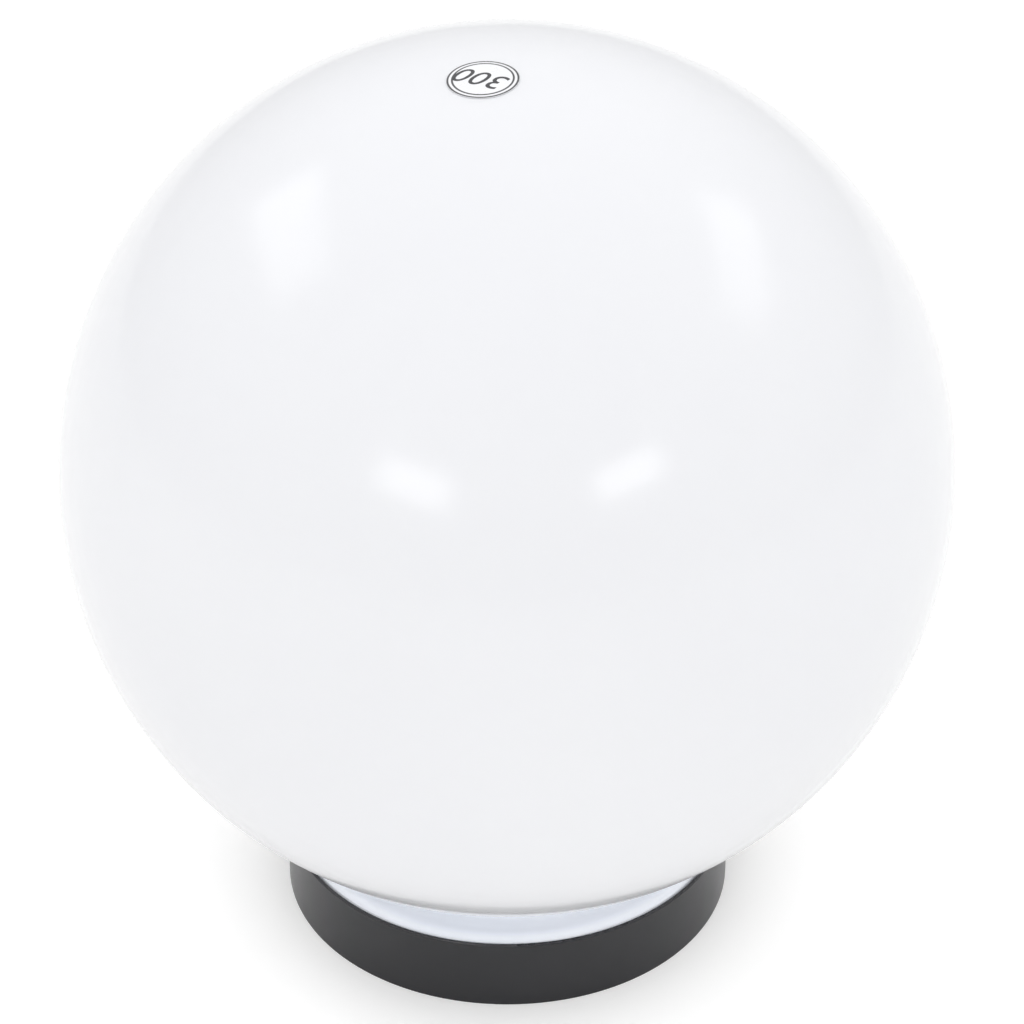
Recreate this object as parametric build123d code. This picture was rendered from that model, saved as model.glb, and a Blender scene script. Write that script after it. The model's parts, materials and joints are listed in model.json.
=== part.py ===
from build123d import *
import math
import os

# Garden globe light: an opal plastic ball whose neck sits in a shallow round base, over a screw-in lamp.
# Millimetres. The origin is the centre of the base's underside, +Z is up and the front is towards -Y.

# Ball, neck and collar
globe_radius = 150.0
globe_wall = 2.5
globe_centre_height = 167.0
neck_radius = 59.0
crease_radius = 1.5
mouth_radius = 56.0
collar_radius = 77.9
collar_underside = 22.9
skirt_outer_radius = 76.0
skirt_inner_radius = 73.5
skirt_bottom = 10.0

# Base
base_height = 26.0
base_bottom_radius = 80.6
base_top_radius = 80.2
base_inner_radius = 78.8
floor_bottom = 2.0
floor_top = 5.0
shelf_top = 8.0
shelf_inner_radius = 71.5
recess_radius = 78.6
seal_inner_radius = 68.0
mount_seat_radius = 6.0
bracket_seat_radius = 5.0
block_seat_radius = 3.6
pilot_hole_bottom = 3.0

# Bayonet: lugs on the skirt turn under hooks on the base's wall
bayonet_count = 3
lug_radius = 78.3
lug_low = 12.0
lug_high = 16.5
lug_span = 14.0
first_lug_angle = 90.0
hook_inner_radius = 76.9
hook_low = 17.0
hook_high = 19.5
lock_turn = 25.0

# Screws into the surface below, and the inlet of the supply cable
mount_hole_radius = 2.75
mount_circle_radius = 60.0
mount_angles = (45.0, 135.0, 225.0, 315.0)
inlet_x = -40.0
inlet_hole_radius = 7.0
inlet_bore_radius = 3.6

# Bracket that carries the lampholder, folded from strip and running along Y
bracket_metal = 1.5
bracket_half_width = 9.0
bracket_leg_y = 24.0
bracket_end_y = 38.0
bracket_foot_bottom = 9.0
bracket_top = 15.5
bracket_screw_y = 31.0

# Lampholder
holder_bottom = bracket_top
holder_top = 57.0
holder_radius = 20.5
holder_neck_radius = 19.2
holder_cavity_radius = 14.6
holder_shoulder = 31.0
pocket_ceiling = 26.0
pocket_half_width = 5.0
contact_well_radius = 9.0
contact_seat = 29.0
contact_metal = 0.8
live_wall_x = 12.2
neutral_wall_x = 13.4
terminal_height = 22.0
holder_screw_y = 9.0

# Lamp thread: round beads on a core and in a shell, half a pitch apart
thread_pitch = 3.629
thread_bead_radius = 1.0
cap_core_radius = 12.1
cap_inner_radius = 10.9
shell_inner_radius = 13.3
shell_outer_radius = 14.3
shell_top = 53.0
cap_bottom = 35.0
cap_thread_low = 36.5
cap_thread_high = 53.5
shell_thread_low = 37.5
shell_thread_high = 49.5

# Lamp
lamp_contact_height = 32.0
cap_top = 57.0
lamp_shoulder_radius = 13.4
lamp_rim_height = 95.0
lamp_rim_radius = 26.2
lamp_plastic = 1.6
dome_radius = 30.0
dome_wall = 1.2
dome_centre_height = 110.0
led_count = 14
led_circle_radius = 16.0

# Terminal block, its long way along Y
block_low_x = 34.0
block_high_x = 52.0
block_half_length = 15.0
block_bottom = shelf_top
block_top = 22.0
pole_spacing = 10.0
pole_height = 13.0
clamp_positions = (39.5, 46.5)
block_screw_x = 43.0
block_screw_y = 5.0
block_screw_seat = 17.0

# Round label near the top of the ball
label_radius = 11.2
label_thickness = 0.15
label_gap = 0.03
label_tilt = 8.0
label_heading = 249.7

wire_radius = 1.2
barrel_wall = 0.4

# Screws: head radius, head height and shank radius
screw_clearance = 0.05
bracket_screw = (3.8, 2.4, 1.95)
holder_screw = (2.8, 2.2, 1.5)
block_screw = (2.8, 2.0, 1.5)
holder_clamp = (2.4, 1.6, 1.4)
pole_clamp = (2.1, 1.8, 1.4)


def hole_for(size):
    # Radius of the hole that a screw's shank goes through.
    return size[2] + screw_clearance


def post(radius, low, high, x=0.0, y=0.0):
    # Upright cylinder between two heights.
    return Pos(x, y, low) * Cylinder(radius, high - low, align=(Align.CENTER, Align.CENTER, Align.MIN))


def rod(radius, low_x, high_x, y, z):
    # Cylinder lying along X.
    lying = Cylinder(radius, high_x - low_x, align=(Align.CENTER, Align.CENTER, Align.MIN))
    return Pos(low_x, y, z) * Rot(0, 90, 0) * lying


def block(low, high):
    # Box between two opposite corners.
    middle = [(a + b) / 2 for a, b in zip(low, high)]
    size = [b - a for a, b in zip(low, high)]
    return Pos(*middle) * Box(*size)


def turned(edges):
    # Solid of revolution about Z, from a closed outline of (radius, height) edges.
    return revolve(Plane.XZ * make_face(edges), axis=Axis.Z)


def washer(inner, outer, low, high):
    return post(outer, low, high) - post(inner, low - 1, high + 1)


def ring_sector(inner, outer, low, high, centre, span):
    # Part of a ring, about an angle in degrees from +X.
    section = Plane.XZ * Pos((inner + outer) / 2, (low + high) / 2) * Rectangle(outer - inner, high - low)
    return Rot(0, 0, centre - span / 2) * revolve(section, axis=Axis.Z, revolution_arc=span)


def on_circle(radius, angle):
    return radius * math.cos(math.radians(angle)), radius * math.sin(math.radians(angle))


def screw(head_radius, head_height, shank_radius, length):
    # Pan head screw with a cross recess: the head stands on the plane z = 0 and the shank hangs below it.
    head = post(head_radius, 0, head_height)
    head = fillet(head.edges().group_by(Axis.Z)[-1], head_height * 0.4)
    slot_length = head_radius * 1.2
    slot_width = head_radius * 0.28
    slot_floor = head_height * 0.5
    for size in ((slot_length, slot_width), (slot_width, slot_length)):
        head -= Pos(0, 0, slot_floor) * Box(*size, head_height,
            align=(Align.CENTER, Align.CENTER, Align.MIN))
    return head + post(shank_radius, -length, 0.01)


def ball_height(distance, ball_radius):
    # Height of the ball's lower half at a distance from the axis.
    return globe_centre_height - math.sqrt(ball_radius**2 - distance**2)


def thread_bead(centre_radius, low, high, phase):
    # Right-hand round bead on a circle about Z, starting at an angle in degrees.
    path = Rot(0, 0, phase) * Helix(pitch=thread_pitch, height=high - low, radius=centre_radius,
        center=(0, 0, low))
    section = Plane(origin=path @ 0, z_dir=path % 0) * Circle(thread_bead_radius)
    return sweep(section, path=path, is_frenet=True)


def corner_radii(points):
    # Each arc is as large as the shorter of its two runs allows.
    radii = []
    for before, corner, after in zip(points, points[1:], points[2:]):
        first = Vector(*corner) - Vector(*before)
        second = Vector(*after) - Vector(*corner)
        half_turn = math.radians(first.get_angle(second) / 2)
        radii.append(0.45 * min(first.length, second.length) / math.tan(half_turn))
    return radii


def bent_wire(name, points, radius):
    # Round wire on straight runs joined by tangent arcs.
    radii = corner_radii(points)
    path = FilletPolyline(*points, radius=radii)
    section = Plane(origin=path @ 0, z_dir=path % 0) * Circle(radius)
    wire = sweep(section, path=path)
    expected = math.pi * radius**2 * path.length
    print(name, "radii", [round(r, 2) for r in radii], "length", round(path.length, 1),
          "volume", round(wire.volume, 1), "of", round(expected, 1))
    return wire


def save(name, *solids):
    shape = solids[0] if len(solids) == 1 else Compound(list(solids))
    export_step(shape, f"parts/{name}.step")


def lug_angles():
    return [first_lug_angle + 360.0 / bayonet_count * i for i in range(bayonet_count)]


# Globe

def crease_point(angle):
    # Point on the small arc, tangent to the ball, in which the ball's underside turns back to the collar.
    drop = globe_centre_height - ball_height(neck_radius, globe_radius)
    centre_x = neck_radius + crease_radius * neck_radius / globe_radius
    centre_z = ball_height(neck_radius, globe_radius) - crease_radius * drop / globe_radius
    x, z = on_circle(crease_radius, angle)
    return centre_x + x, centre_z + z


def globe_shell():
    # Ball with an open mouth, cut level where the collar is bonded on.
    top = globe_centre_height + globe_radius
    inner_radius = globe_radius - globe_wall
    neck = (neck_radius, ball_height(neck_radius, globe_radius))
    neck_angle = 180 - math.degrees(math.acos(neck_radius / globe_radius))
    edge = crease_point(180)
    mouth_low = (mouth_radius, edge[1])
    mouth_high = (mouth_radius, ball_height(mouth_radius, inner_radius))
    inner_top = (0, globe_centre_height + inner_radius)
    return turned([
        ThreePointArc((0, top), (globe_radius, globe_centre_height), neck),
        ThreePointArc(neck, crease_point((neck_angle + 180) / 2), edge),
        Line(edge, mouth_low),
        Line(mouth_low, mouth_high),
        ThreePointArc(mouth_high, (inner_radius, globe_centre_height), inner_top),
        Line(inner_top, (0, top)),
    ])


def globe_collar():
    # Flared glossy collar with a shallow gutter and a rolled edge, over a skirt that goes down into the base.
    edge = crease_point(180)
    low = crease_point(270)
    gutter = (69.5, low[1] - 1.1)
    roll = (75.3, low[1] - 0.25)
    rim = (collar_radius, low[1] - 1.9)
    chamfer_size = 0.6
    bevel = 1.5
    inside = Polyline(
        rim,
        (collar_radius, collar_underside + chamfer_size),
        (collar_radius - chamfer_size, collar_underside),
        (skirt_outer_radius, collar_underside),
        (skirt_outer_radius, skirt_bottom),
        (skirt_inner_radius, skirt_bottom),
        (skirt_inner_radius, collar_underside),
        (mouth_radius + bevel, collar_underside),
        (mouth_radius, collar_underside + bevel),
        (mouth_radius, edge[1]),
        edge,
    )
    collar = turned([
        ThreePointArc(edge, crease_point(225), low),
        Spline(low, gutter, roll, rim, tangents=((1, 0), (0, -1))),
        *inside.edges(),
    ])
    for angle in lug_angles():
        collar += ring_sector(skirt_outer_radius - 0.5, lug_radius, lug_low, lug_high, angle, lug_span)
    return collar


def size_label():
    # Thin round piece of a sphere just off the ball's surface.
    low = globe_radius + label_gap
    high = low + label_thickness
    edge_angle = math.asin(label_radius / globe_radius)

    def at(radius, angle):
        return radius * math.sin(angle), radius * math.cos(angle)

    outline = [
        ThreePointArc(at(high, 0), at(high, edge_angle / 2), at(high, edge_angle)),
        Line(at(high, edge_angle), at(low, edge_angle)),
        ThreePointArc(at(low, edge_angle), at(low, edge_angle / 2), at(low, 0)),
        Line(at(low, 0), at(high, 0)),
    ]
    place = Pos(0, 0, globe_centre_height) * Rot(0, 0, label_heading) * Rot(0, label_tilt, 0)
    return place * turned(outline)


def globe_gasket():
    return washer(skirt_inner_radius - 0.9, skirt_outer_radius + 1.6, shelf_top, skirt_bottom)


# Base

def base_housing():
    lip_radius = (base_top_radius - base_inner_radius) / 2
    lip_height = base_height - lip_radius
    wall = [
        Line((base_bottom_radius, 0), (base_top_radius, lip_height)),
        ThreePointArc(
            (base_top_radius, lip_height),
            (base_inner_radius + lip_radius, base_height),
            (base_inner_radius, lip_height),
        ),
    ]
    inside = Polyline(
        (base_inner_radius, lip_height),
        (base_inner_radius, shelf_top),
        (shelf_inner_radius, shelf_top),
        (shelf_inner_radius, floor_top),
        (0, floor_top),
        (0, floor_bottom),
        (recess_radius, floor_bottom),
        (recess_radius, 0),
        (base_bottom_radius, 0),
    )
    housing = turned([*wall, *inside.edges()])

    # Raised seats for the screws, each tied to the shelf by a gusset
    gusset_half_width = 1.2
    for angle in mount_angles:
        x, y = on_circle(mount_circle_radius, angle)
        gusset = block(
            (mount_circle_radius, -gusset_half_width, floor_top - 0.5),
            (shelf_inner_radius + 1, gusset_half_width, shelf_top),
        )
        housing += post(mount_seat_radius, 0, shelf_top, x, y) + Rot(0, 0, angle) * gusset
    for y in (-bracket_screw_y, bracket_screw_y):
        housing += post(bracket_seat_radius, floor_top - 0.5, bracket_foot_bottom, 0, y)
    for y in (-block_screw_y, block_screw_y):
        housing += post(block_seat_radius, floor_top - 0.5, block_bottom, block_screw_x, y)

    # Hooks, with a stop at the locked end and a rib that keeps the lug from turning the other way
    hook_root = base_inner_radius + 0.5
    hook_span = lock_turn + 2.5
    stop_span = 4.0
    clear = 1.0
    for angle in lug_angles():
        hook_end = angle - lug_span / 2 - 2.5
        hook_centre = hook_end - hook_span / 2
        stop_centre = angle - lock_turn - lug_span / 2 - clear - stop_span / 2
        rib_centre = angle + lug_span / 2 + clear + 1.5
        housing += ring_sector(hook_inner_radius, hook_root, hook_low, hook_high, hook_centre, hook_span)
        housing += ring_sector(hook_inner_radius, hook_root, lug_low, hook_high, stop_centre, stop_span)
        housing += ring_sector(hook_inner_radius, hook_root, lug_low, hook_high, rib_centre, 3.0)

    # Holes
    for angle in mount_angles:
        x, y = on_circle(mount_circle_radius, angle)
        housing -= post(mount_hole_radius, -1, shelf_top + 1, x, y)
    for y in (-bracket_screw_y, bracket_screw_y):
        housing -= post(hole_for(bracket_screw), pilot_hole_bottom, bracket_foot_bottom + 1, 0, y)
    for y in (-block_screw_y, block_screw_y):
        housing -= post(hole_for(block_screw), pilot_hole_bottom, block_bottom + 1, block_screw_x, y)
    housing -= post(inlet_hole_radius, floor_bottom - 1, floor_top + 1, inlet_x, 0)
    return housing


def base_seal():
    return washer(seal_inner_radius, recess_radius - 0.2, 0, floor_bottom)


def cable_grommet():
    low = floor_bottom - 1.0
    sleeve_top = 12.0
    sleeve_radius = 6.0
    waist_radius = inlet_hole_radius - 0.2
    flange_radius = 10.0
    flange = 1.5
    rubber = post(flange_radius, low, floor_bottom)
    rubber += post(waist_radius, floor_bottom - 0.01, floor_top + 0.01)
    rubber += post(flange_radius, floor_top, floor_top + flange)
    rubber += post(sleeve_radius, floor_top, sleeve_top)
    return Pos(inlet_x, 0, 0) * (rubber - post(inlet_bore_radius, low - 1, sleeve_top + 1))


# Lampholder and its bracket

def lampholder_bracket():
    foot_top = bracket_foot_bottom + bracket_metal
    underside = bracket_top - bracket_metal
    inner_y = bracket_leg_y - bracket_metal
    half = [
        (bracket_end_y, bracket_foot_bottom),
        (bracket_end_y, foot_top),
        (bracket_leg_y, foot_top),
        (bracket_leg_y, bracket_top),
    ]
    lower = [(inner_y, underside), (inner_y, bracket_foot_bottom)]
    outline = half + [(-y, z) for y, z in reversed(half)] + [(-y, z) for y, z in reversed(lower)] + lower
    bend_radius = 0.5
    section = fillet(make_face(Polyline(*outline, close=True).edges()).vertices(), bend_radius)
    strip = extrude(Plane.YZ * section, amount=bracket_half_width, both=True)
    for y in (-bracket_screw_y, bracket_screw_y):
        strip -= post(bracket_screw[2] + 0.15, bracket_foot_bottom - 1, foot_top + 1, 0, y)
    for y in (-holder_screw_y, holder_screw_y):
        strip -= post(hole_for(holder_screw), underside - 1, bracket_top + 1, 0, y)
    return strip


def bracket_screws():
    foot_top = bracket_foot_bottom + bracket_metal
    tag_top = foot_top + contact_metal
    hole_floor = pilot_hole_bottom + 0.5
    front = Pos(0, -bracket_screw_y, foot_top) * screw(*bracket_screw, foot_top - hole_floor)
    back = Pos(0, bracket_screw_y, tag_top) * screw(*bracket_screw, tag_top - hole_floor)
    return front, back


def lampholder_body():
    waist = 40.0
    body = post(holder_radius, holder_bottom, waist) + post(holder_neck_radius, waist - 0.5, holder_top)
    body = chamfer(body.edges().filter_by(GeomType.CIRCLE).group_by(Axis.Z)[-1], 0.8)
    body -= post(holder_cavity_radius, holder_shoulder, holder_top + 1)
    body -= post(contact_well_radius, contact_seat, holder_shoulder + 1)
    # Channel and slot of the centre contact
    slot = 0.1
    leg_x = live_wall_x + contact_metal
    body -= block((0, -3.2, contact_seat), (leg_x + slot, 3.2, holder_shoulder + 1))
    body -= block((live_wall_x - slot, -3.1, pocket_ceiling - 1), (leg_x + slot, 3.1, contact_seat + 1))
    # Slot of the screw shell's tab
    tab_x = neutral_wall_x + contact_metal
    body -= block((-tab_x - slot, -2.5, pocket_ceiling - 1),
        (-neutral_wall_x + slot, 2.5, holder_shoulder + 1))
    # Terminal pockets, open outwards and downwards, with a screw hole each
    reach = holder_radius + 1
    for side, wall_x in ((1, live_wall_x), (-1, neutral_wall_x)):
        ends = sorted((side * wall_x, side * reach))
        body -= block(
            (ends[0], -pocket_half_width, holder_bottom - 1),
            (ends[1], pocket_half_width, pocket_ceiling),
        )
        hole = sorted((side * (wall_x - 5.0), side * (wall_x + 1)))
        body -= rod(hole_for(holder_clamp), hole[0], hole[1], 0, terminal_height)
    screw_hole_top = 23.0
    for y in (-holder_screw_y, holder_screw_y):
        body -= post(hole_for(holder_screw), holder_bottom - 1, screw_hole_top, 0, y)
    return body


def lampholder_screws():
    underside = bracket_top - bracket_metal
    length = 8.5
    upward = Rot(180, 0, 0) * screw(*holder_screw, length)
    return [Pos(0, y, underside) * upward for y in (-holder_screw_y, holder_screw_y)]


def screw_shell():
    lip = 0.8
    shell = washer(shell_inner_radius, shell_outer_radius, holder_shoulder, shell_top)
    shell += washer(10.0, shell_outer_radius, holder_shoulder, holder_shoulder + lip)
    # The shell's bead starts half a pitch away from the cap's.
    lead = shell_thread_low - cap_thread_low - thread_pitch / 2
    shell += thread_bead(shell_inner_radius, shell_thread_low, shell_thread_high, 360 * lead / thread_pitch)
    tab_x = neutral_wall_x + contact_metal
    tab = block((-tab_x, -2.4, terminal_height - 3.5), (-neutral_wall_x, 2.4, holder_shoulder + lip / 2))
    tab -= rod(hole_for(holder_clamp), -tab_x - 1, -neutral_wall_x + 1, 0, terminal_height)
    return shell + tab


def centre_contact():
    leg_x = live_wall_x + contact_metal
    plate_top = contact_seat + contact_metal
    contact = block((-4.0, -3.0, contact_seat), (leg_x, 3.0, plate_top))
    contact += block((live_wall_x, -3.0, terminal_height - 3.5), (leg_x, 3.0, plate_top))
    contact -= rod(hole_for(holder_clamp), live_wall_x - 1, leg_x + 1, 0, terminal_height)
    button_height = lamp_contact_height - plate_top
    button = Cone(3.4, 2.4, button_height, align=(Align.CENTER, Align.CENTER, Align.MIN))
    return contact + Pos(0, 0, plate_top) * button


def terminal_barrel_x(wall_x):
    return wall_x + contact_metal + wire_radius + barrel_wall


def ring_terminal(wall_x):
    # Ring against the contact's leg, with a crimped barrel below that takes the wire.
    face = wall_x + contact_metal
    ring = rod(3.0, face, face + contact_metal, 0, terminal_height)
    ring += block((face, -1.5, terminal_height - 4.0), (face + contact_metal, 1.5, terminal_height))
    ring += post(wire_radius + barrel_wall, holder_bottom - 0.5, terminal_height - 3.0,
        terminal_barrel_x(wall_x), 0)
    return ring - rod(hole_for(holder_clamp), face - 1, face + 3, 0, terminal_height)


def ring_terminals():
    return ring_terminal(live_wall_x), Rot(0, 0, 180) * ring_terminal(neutral_wall_x)


def holder_terminal_screws():
    clamps = []
    for heading, wall_x in ((0, live_wall_x), (180, neutral_wall_x)):
        seat = wall_x + 2 * contact_metal
        clamp = screw(*holder_clamp, 5.0)
        clamps.append(Rot(0, 0, heading) * Pos(seat, 0, terminal_height) * Rot(0, 90, 0) * clamp)
    return clamps


def earth_tag():
    low = bracket_foot_bottom + bracket_metal
    high = low + contact_metal
    barrel_radius = wire_radius + barrel_wall
    tag = post(4.0, low, high) + block((0, -1.5, low), (6.0, 1.5, high))
    tag += rod(barrel_radius, 4.6, 10.0, 0, low + barrel_radius + 0.1)
    return Pos(0, bracket_screw_y, 0) * (tag - post(bracket_screw[2] + 0.15, low - 1, high + 1))


# Wires, from the lampholder and the bracket to the terminal block

def live_wire():
    x = terminal_barrel_x(live_wall_x)
    start = holder_bottom - 0.5
    return bent_wire("live_wire", [
        (x, 0, start), (x, 0, 10.5), (20.5, -6.5, 8.2), (28, -pole_spacing, pole_height),
        (40.5, -pole_spacing, pole_height),
    ], wire_radius)


def neutral_wire():
    x = -terminal_barrel_x(neutral_wall_x)
    start = holder_bottom - 0.5
    return bent_wire("neutral_wire", [
        (x, 0, start), (x, 0, 10.5), (-10, 4, 7.6), (-1, 5.2, 7), (9, 4.2, 7.2), (19, 4.6, 8.2),
        (27.5, 0, pole_height), (40.5, 0, pole_height),
    ], wire_radius)


def earth_wire():
    start_height = bracket_foot_bottom + bracket_metal + wire_radius + 0.5
    return bent_wire("earth_wire", [
        (10, bracket_screw_y, start_height), (15.5, bracket_screw_y, start_height), (22.5, 26, 11),
        (26, 17, 11.6), (28.5, pole_spacing, pole_height), (40.5, pole_spacing, pole_height),
    ], wire_radius)


# Terminal block

def pole_rows():
    return -pole_spacing, 0.0, pole_spacing


def terminal_block():
    body = block((block_low_x, -block_half_length, block_bottom),
        (block_high_x, block_half_length, block_top))
    body = fillet(body.edges().filter_by(Axis.Z), 1.0)
    body = chamfer(body.edges().group_by(Axis.Z)[-1], 0.5)
    end_wall = 2.0
    for y in pole_rows():
        body -= rod(1.9, block_low_x - 1, block_high_x + 1, y, pole_height)
        body -= rod(2.65, block_low_x + end_wall, block_high_x - end_wall, y, pole_height)
        for x in clamp_positions:
            body -= post(2.4, pole_height, block_top + 1, x, y)
    for y in (-block_screw_y, block_screw_y):
        body -= post(block_screw[2] + 0.2, block_bottom - 1, block_top + 1, block_screw_x, y)
        body -= post(block_screw[0] + 0.3, block_screw_seat, block_top + 1, block_screw_x, y)
    return body


def terminal_inserts():
    inserts = []
    low_x = block_low_x + 2.05
    high_x = block_high_x - 2.05
    for y in pole_rows():
        tube = rod(2.6, low_x, high_x, y, pole_height) - rod(1.5, low_x - 1, high_x + 1, y, pole_height)
        for x in clamp_positions:
            tube -= post(hole_for(pole_clamp), pole_height, pole_height + 4, x, y)
        inserts.append(tube)
    return inserts


def terminal_screws():
    clamp = screw(*pole_clamp, 2.2)
    return [Pos(x, y, pole_height + 3.5) * clamp for y in pole_rows() for x in clamp_positions]


def block_screws():
    fixing = screw(*block_screw, 13.5)
    return [Pos(block_screw_x, y, block_screw_seat) * fixing for y in (-block_screw_y, block_screw_y)]


# Lamp

def lamp_seal_ring():
    low = holder_top + 0.3
    return washer(lamp_shoulder_radius + 0.9, 19.0, low, low + 2.5)


def bulb_cap():
    cap = washer(cap_inner_radius, cap_core_radius, cap_bottom, cap_top)
    return cap + thread_bead(cap_core_radius, cap_thread_low, cap_thread_high, 0)


def cap_insulator():
    low = lamp_contact_height + 1.2
    high = cap_bottom + 2.5
    radius = cap_inner_radius - 0.1
    cone = turned(Polyline((0, low), (5.2, low), (radius, cap_bottom), (radius, high), (0, high),
        close=True).edges())
    return cone - post(0.55, low - 1, high + 1)


def cap_contact():
    disc = post(4.6, lamp_contact_height, lamp_contact_height + 1.2)
    return chamfer(disc.edges().group_by(Axis.Z)[0], 0.5)


def lamp_inner_radius(height):
    # Straight inner flare of the lamp's body.
    low = 61.0
    low_radius = lamp_shoulder_radius - lamp_plastic + 0.4
    slope = (lamp_rim_radius - lamp_plastic - low_radius) / (lamp_rim_height - low)
    return low_radius + slope * (height - low)


def bulb_housing():
    sleeve_radius = cap_inner_radius - 0.1
    sleeve_bottom = 50.0
    sleeve_inner = sleeve_radius - lamp_plastic
    flare_start = (lamp_shoulder_radius + 0.4, 61.0)
    flare_end = (lamp_rim_radius, lamp_rim_height)
    middle = (19.6, 77.0)
    outline = [
        *Polyline((sleeve_radius, sleeve_bottom), (sleeve_radius, cap_top), (lamp_shoulder_radius, cap_top),
                  flare_start).edges(),
        ThreePointArc(flare_start, middle, flare_end),
        *Polyline(flare_end, (lamp_inner_radius(lamp_rim_height), lamp_rim_height),
                  (lamp_inner_radius(61.0), 61.0), (sleeve_inner, cap_top), (sleeve_inner, sleeve_bottom),
                  (sleeve_radius, sleeve_bottom)).edges(),
    ]
    return turned(outline)


def bulb_heat_sink():
    low = 64.0
    high = lamp_rim_height - 1.4
    gap = 0.35
    metal = 1.0
    plate = 1.2

    def outside(height):
        return lamp_inner_radius(height) - gap

    return turned(Polyline(
        (outside(low), low), (outside(high), high), (0, high), (0, high - plate),
        (outside(high - plate) - metal, high - plate), (outside(low) - metal, low), close=True,
    ).edges())


def driver_board():
    return block((-7, -0.8, 59), (7, 0.8, 89))


def driver_parts():
    capacitor = post(4.0, 66, 79, 0, 5.0)
    inductor = post(3.2, 80.5, 87, 2.5, 4.2)
    transformer = block((-5, -7.3, 68), (5, -0.9, 78))
    chip = block((-2.5, -2.3, 81), (2.5, -0.9, 85))
    fuse = post(1.6, 60, 65, -3, 2.6)
    return capacitor, inductor, transformer, chip, fuse


def driver_leads():
    lead_radius = 0.45
    centre_lead = post(lead_radius, lamp_contact_height + 1.2, 59)
    side_lead = bent_wire("side_lead", [(-6, 0, 58.8), (-8, 0, 53), (-7.6, 0, 48.5),
        (-10.3, 0, 46)], lead_radius)
    return centre_lead, side_lead


def led_board():
    low = lamp_rim_height - 1.4
    return post(23.8, low, low + 1.6)


def led_chips():
    low = lamp_rim_height + 0.2
    chips = []
    for i in range(led_count):
        angle = 360.0 / led_count * i
        chips.append(Rot(0, 0, angle) * Pos(led_circle_radius, 0, low + 0.35) * Box(2.8, 3.5, 0.7))
    return chips


def bulb_dome():
    inner = dome_radius - dome_wall
    drop = dome_centre_height - lamp_rim_height
    outer_edge = (math.sqrt(dome_radius**2 - drop**2), lamp_rim_height)
    inner_edge = (math.sqrt(inner**2 - drop**2), lamp_rim_height)
    return turned([
        ThreePointArc(outer_edge, (dome_radius, dome_centre_height), (0, dome_centre_height + dome_radius)),
        Line((0, dome_centre_height + dome_radius), (0, dome_centre_height + inner)),
        ThreePointArc((0, dome_centre_height + inner), (inner, dome_centre_height), inner_edge),
        Line(inner_edge, outer_edge),
    ])


os.makedirs("parts", exist_ok=True)
save("globe_shell", globe_shell())
save("globe_collar", globe_collar())
save("size_label", size_label())
save("globe_gasket", globe_gasket())
save("base_housing", base_housing())
save("base_seal", base_seal())
save("cable_grommet", cable_grommet())
save("lampholder_bracket", lampholder_bracket())
save("bracket_screws", *bracket_screws())
save("lampholder_body", lampholder_body())
save("lampholder_screws", *lampholder_screws())
save("screw_shell", screw_shell())
save("centre_contact", centre_contact())
save("ring_terminals", *ring_terminals())
save("holder_terminal_screws", *holder_terminal_screws())
save("earth_tag", earth_tag())
save("live_wire", live_wire())
save("neutral_wire", neutral_wire())
save("earth_wire", earth_wire())
save("terminal_block", terminal_block())
save("terminal_inserts", *terminal_inserts())
save("terminal_screws", *terminal_screws())
save("block_screws", *block_screws())
save("lamp_seal_ring", lamp_seal_ring())
save("bulb_cap", bulb_cap())
save("cap_insulator", cap_insulator())
save("cap_contact", cap_contact())
save("bulb_housing", bulb_housing())
save("bulb_heat_sink", bulb_heat_sink())
save("driver_board", driver_board())
save("driver_parts", *driver_parts())
save("driver_leads", *driver_leads())
save("led_board", led_board())
save("led_chips", *led_chips())
save("bulb_dome", bulb_dome())
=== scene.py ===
import json
import math

import bmesh
import bpy
from mathutils import Matrix, Quaternion, Vector


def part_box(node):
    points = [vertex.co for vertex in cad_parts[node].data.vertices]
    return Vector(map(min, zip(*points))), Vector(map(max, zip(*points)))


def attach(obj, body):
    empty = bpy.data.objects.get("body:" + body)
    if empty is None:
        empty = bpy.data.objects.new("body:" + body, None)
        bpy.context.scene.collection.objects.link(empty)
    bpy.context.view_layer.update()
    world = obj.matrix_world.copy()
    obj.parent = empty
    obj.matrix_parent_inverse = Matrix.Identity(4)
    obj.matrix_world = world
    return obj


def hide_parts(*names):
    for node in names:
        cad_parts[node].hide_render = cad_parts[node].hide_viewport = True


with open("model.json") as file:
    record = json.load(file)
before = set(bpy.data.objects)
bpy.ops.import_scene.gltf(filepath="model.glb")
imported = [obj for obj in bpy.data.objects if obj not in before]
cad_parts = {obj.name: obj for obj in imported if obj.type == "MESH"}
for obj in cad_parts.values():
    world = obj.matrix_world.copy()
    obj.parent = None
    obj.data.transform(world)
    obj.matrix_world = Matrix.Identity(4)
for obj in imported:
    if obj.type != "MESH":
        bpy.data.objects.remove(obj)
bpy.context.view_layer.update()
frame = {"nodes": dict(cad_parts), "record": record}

nodes = frame["nodes"]
scene = bpy.context.scene
print("frame loaded:", len(nodes), "pieces")

ballRadius = 0.15
ballCentre = Vector((0, 0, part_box("globe_shell")[1].z - ballRadius))
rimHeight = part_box("base_housing")[1].z


# Camera, at the photograph's angle

view = {
    "distance": 6.0 * ballRadius,
    "elevation": 30.38,
    "extraTilt": 0.93,
    "turn": -0.12,
    "lens": 93.5,
    "sensor": 36.0,
}


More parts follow.
